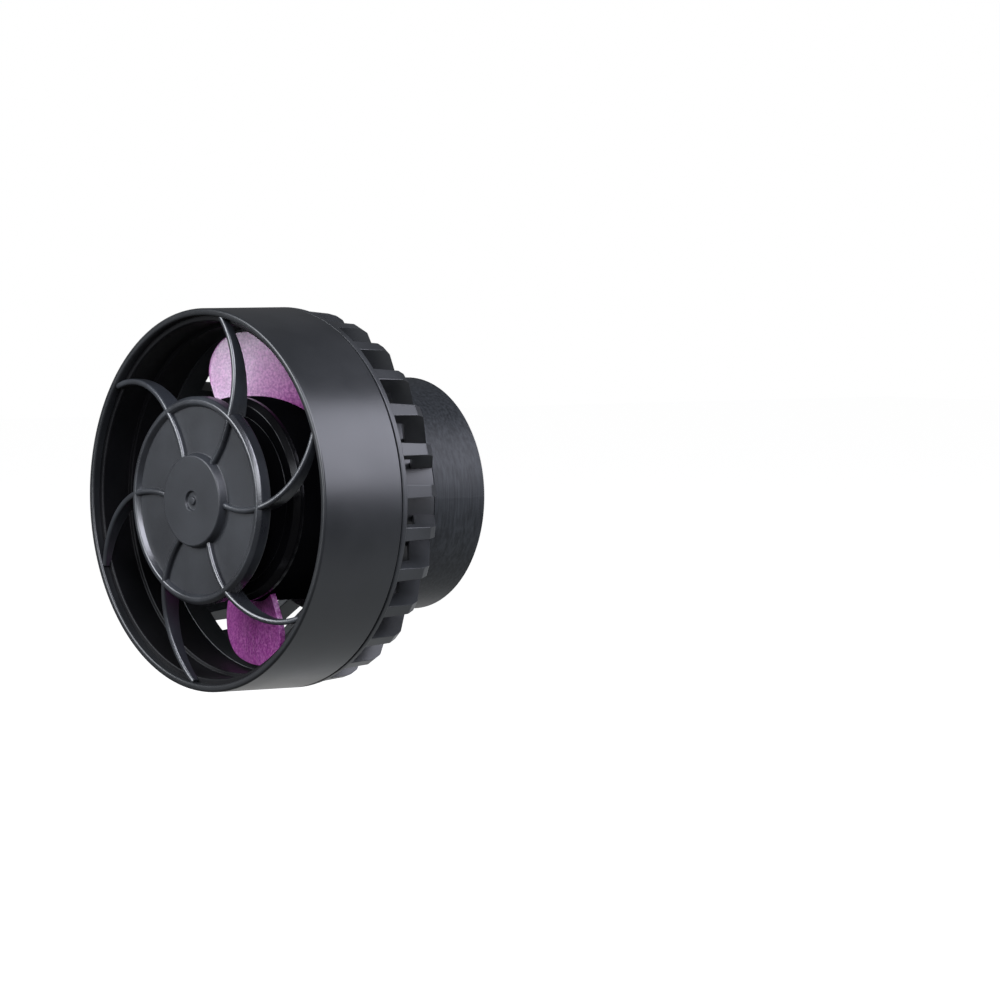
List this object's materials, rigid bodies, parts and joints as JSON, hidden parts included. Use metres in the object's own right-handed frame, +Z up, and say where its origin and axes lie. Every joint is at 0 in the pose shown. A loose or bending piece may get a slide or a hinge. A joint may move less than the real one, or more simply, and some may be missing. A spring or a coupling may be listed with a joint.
{
  "type": "wave maker pump",
  "caption": "Round magnet-mounted aquarium wave maker pump: ring-shaped outlet guard with swept spokes, purple impeller, ribbed intake cage and cylindrical rear case.",
  "frame": {"origin": "centre of the grip pad's rear face, where it rests on the aquarium glass", "axes": "+Y along the pump's axis from the outlet towards the glass, +Z up, +X to the right seen from the outlet"},
  "size_m": [0.07, 0.052, 0.07],
  "materials": {
    "guard_plastic": "satin moulded ABS, black",
    "cage_plastic": "matt moulded ABS, black",
    "case_plastic": "matt moulded ABS with fine lengthwise drag marks, black",
    "inner_plastic": "plain moulded, black",
    "gland_plastic": "satin nylon, black",
    "hub_plastic": "polished, black",
    "blade_plastic": "translucent purple, fine sparkly grain",
    "core_steel": "laminated, varnished",
    "plate_steel": "zinc plated",
    "screw_steel": "stainless",
    "magnet": "nickel plated",
    "ring_magnet": "moulded magnet, epoxy coated",
    "copper": "enamelled copper wire",
    "board": "solder mask, green",
    "chip": "moulded package",
    "capacitor_can": "plain can",
    "potting": "epoxy resin, black",
    "seal_rubber": "matt",
    "pad_rubber": "soft, ribbed",
    "ceramic": "ground alumina",
    "washer": "PTFE"
  },
  "bodies": {
    "pump_body": {"rear_cage": "cage_plastic", "rear_case": "case_plastic", "stator_can": "inner_plastic", "stator_core": "core_steel", "driver_board": "board", "driver_chip": "chip", "capacitor": "capacitor_can", "potting_plug": "potting", "case_o_ring": "seal_rubber", "case_screws": "screw_steel", "mount_magnet": "magnet", "magnet_plate": "plate_steel", "grip_pad": "pad_rubber", "front_bush": "ceramic", "rear_bush": "ceramic", "cable_gland": "gland_plastic", "gland_seal": "seal_rubber", "gland_nut": "gland_plastic", "stator_coil_1": "copper", "stator_coil_2": "copper", "stator_coil_3": "copper", "stator_coil_4": "copper", "stator_coil_5": "copper", "stator_coil_6": "copper", "position_sensor_1": "chip", "position_sensor_2": "chip", "position_sensor_3": "chip"},
    "guard": {"outlet_guard": "guard_plastic"},
    "impeller": {"impeller_hub": "hub_plastic", "hub_cap": "hub_plastic", "impeller_blade_1": "blade_plastic", "impeller_blade_2": "blade_plastic", "impeller_shaft": "ceramic", "thrust_washer": "washer", "magnet_liner": "inner_plastic", "ring_magnet": "ring_magnet", "back_iron": "plate_steel"}
  },
  "joints": [
    {"name": "impeller_spin", "type": "hinge", "parent": "pump_body", "child": "impeller", "pos_m": [0, -0.035, 0], "axis": [0, 1, 0], "continuous": true},
    {"name": "guard_twist", "type": "hinge", "parent": "pump_body", "child": "guard", "pos_m": [0, -0.035, 0], "axis": [0, -1, 0], "range_deg": [0, 16]}
  ]
}
